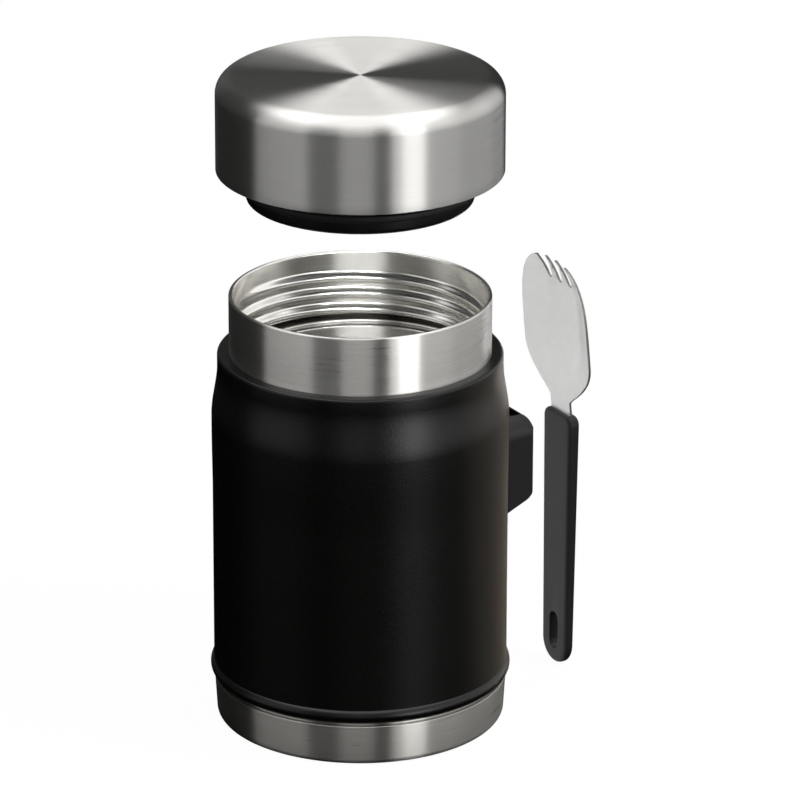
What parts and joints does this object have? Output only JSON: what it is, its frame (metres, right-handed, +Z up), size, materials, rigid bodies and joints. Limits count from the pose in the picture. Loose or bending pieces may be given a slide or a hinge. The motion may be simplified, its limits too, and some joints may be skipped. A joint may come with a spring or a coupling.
{
  "type": "insulated food jar",
  "caption": "Double-walled steel food jar with a screw-off steel lid held above its neck, a side sleeve and a spork standing beside it.",
  "frame": {"origin": "middle of the jar's underside, on the surface that it stands on", "axes": "+Z up along the jar's axis, +X towards the sleeve and the spork, -Y towards the jar's front"},
  "size_m": [0.1257, 0.0952, 0.2116],
  "materials": {
    "coated_steel": "fine black powder coat",
    "brushed_steel": "brushed round the axis",
    "liner_steel": "satin, fine turning lines",
    "plain_steel": "plain",
    "satin_steel": "satin",
    "copper_foil": "bright foil",
    "sintered_metal": "dull",
    "moulded_black": "fine moulded texture",
    "moulded_grey": "fine moulded texture",
    "gloss_black": "gloss",
    "silicone": "matt",
    "foam": "rigid foam"
  },
  "bodies": {
    "jar": {"outer_shell": "coated_steel", "neck_collar": "brushed_steel", "inner_liner": "liner_steel", "foil_wrap": "copper_foil", "getter_pellet": "sintered_metal", "vacuum_bottom": "liner_steel", "seal_off_plug": "sintered_metal", "base_cup": "brushed_steel", "holder_bracket": "plain_steel", "spork_holder": "moulded_black", "holder_screws": "plain_steel"},
    "lid_seal": {"lid_gasket": "silicone"},
    "lid": {"lid_cap": "brushed_steel", "lid_stopper": "gloss_black", "lid_foam": "foam", "lid_inner_plate": "moulded_black"},
    "spork": {"spork_head": "satin_steel", "spork_handle": "moulded_grey"}
  },
  "joints": [
    {"name": "lid_rise", "type": "slide", "parent": "jar", "child": "lid_seal", "axis": [0, 0, 1], "range_m": [-0.0594, 0]},
    {"name": "lid_turn", "type": "hinge", "parent": "lid_seal", "child": "lid", "pos_m": [0, 0, 0], "axis": [0, 0, 1], "range_deg": [-4034.7, 0]},
    {"name": "spork_lift", "type": "slide", "parent": "jar", "child": "spork", "axis": [0, 0, 1], "range_m": [0, 0.09]}
  ],
  "couplings": [
    {"joint": "lid_rise", "follows": "lid_turn", "m_per_rad": 0.00084352}
  ]
}
